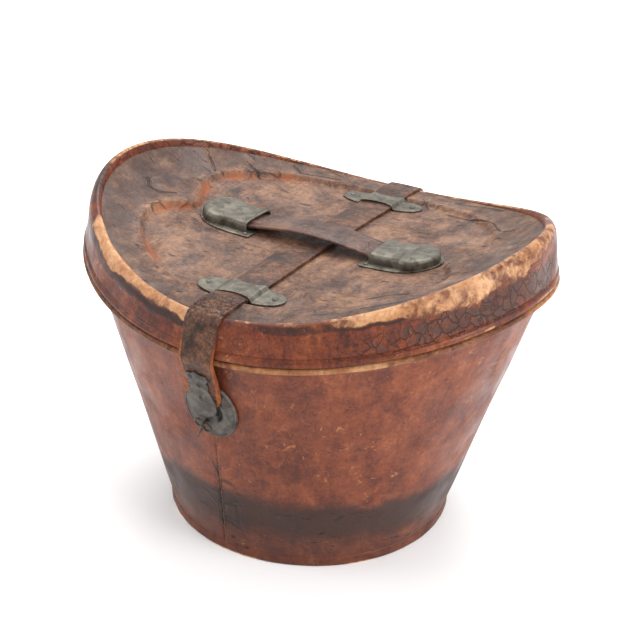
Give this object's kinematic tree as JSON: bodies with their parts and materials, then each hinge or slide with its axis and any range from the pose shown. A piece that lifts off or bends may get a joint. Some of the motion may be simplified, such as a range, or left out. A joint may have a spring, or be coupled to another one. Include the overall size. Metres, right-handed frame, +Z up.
{
  "type": "hat box",
  "caption": "Flaring leather top-hat bucket with a saddle-shaped hinged lid, a closing strap with hasp and key lock, and a strap handle.",
  "frame": {"origin": "middle of the underside of the round foot", "axes": "+Z up, +X along the long axis of the oval lid, -Y towards the lock and hasp at the front"},
  "size_m": [0.3734, 0.331, 0.2612],
  "materials": {
    "body_leather": "worn red-brown leather, satin",
    "lid_leather": "abraded brown leather, matt",
    "edge_leather": "scuffed tan edge leather",
    "strap_leather": "dark brown strap leather",
    "lining_cloth": "faded red lining",
    "base_wood": "plain board",
    "aged_brass": "oxidised grey-brown brass",
    "dark_iron": "dark rusty wire"
  },
  "bodies": {
    "bucket": {"bucket_wall": "body_leather", "rim_collar": "edge_leather", "rim_welt": "edge_leather", "bucket_lining": "lining_cloth", "heel_band": "edge_leather", "base_board": "base_wood", "lock_plate": "aged_brass", "lock_rivets": "aged_brass", "strap_tail_rear": "strap_leather", "strap_tail_rivets": "aged_brass"},
    "bolt": {"lock_bolt": "dark_iron"},
    "key": {"lock_key": "dark_iron"},
    "lid": {"lid_panel": "lid_leather", "lid_border": "lid_leather", "lid_edge_roll": "edge_leather", "lid_skirt": "body_leather", "skirt_binding": "edge_leather", "lid_lining": "lining_cloth", "closing_strap": "strap_leather", "keeper_front": "aged_brass", "keeper_rear": "aged_brass", "keeper_rivets": "aged_brass", "handle_plate_left": "aged_brass", "handle_plate_right": "aged_brass", "handle_housing_left": "aged_brass", "handle_housing_right": "aged_brass", "handle_plate_pins": "aged_brass"},
    "handle_left": {"handle_strap_left": "strap_leather"},
    "handle_middle": {"handle_strap_mid": "strap_leather"},
    "handle_right": {"handle_strap_right": "strap_leather"},
    "strap_end": {"strap_tab": "strap_leather", "hasp_plate": "aged_brass", "hasp_staple": "aged_brass", "hasp_rivets": "aged_brass"}
  },
  "joints": [
    {"name": "lid_hinge", "type": "hinge", "parent": "bucket", "child": "lid", "pos_m": [0, 0.1653, 0.19174], "axis": [-1, 0, 0], "range_deg": [0, 105]},
    {"name": "hasp_lift", "type": "hinge", "parent": "lid", "child": "strap_end", "pos_m": [0, -0.1653, 0.19174], "axis": [-1, 0, 0], "range_deg": [0, 120]},
    {"name": "key_turn", "type": "hinge", "parent": "bucket", "child": "key", "pos_m": [-0.003, -0.14273, 0.13373], "axis": [0, -0.9755, -0.2199], "range_deg": [0, 90]},
    {"name": "bolt_slide", "type": "slide", "parent": "bucket", "child": "bolt", "axis": [1, 0, 0], "range_m": [0, 0.0052]},
    {"name": "handle_left_slide", "type": "slide", "parent": "lid", "child": "handle_left", "axis": [0.9956, 0, -0.0933], "range_m": [0, 0.00301]},
    {"name": "handle_lift", "type": "slide", "parent": "handle_left", "child": "handle_middle", "axis": [-0.1613, 0, 0.9869], "range_m": [0, 0.01852]},
    {"name": "handle_right_slide", "type": "slide", "parent": "handle_middle", "child": "handle_right", "axis": [-0.1613, 0, -0.9869], "range_m": [0, 0.01853]}
  ],
  "couplings": [
    {"joint": "bolt_slide", "follows": "key_turn", "m_per_rad": 0.00331},
    {"joint": "handle_left_slide", "follows": "handle_lift", "ratio": 0.16197},
    {"joint": "handle_right_slide", "follows": "handle_lift", "ratio": 1}
  ]
}
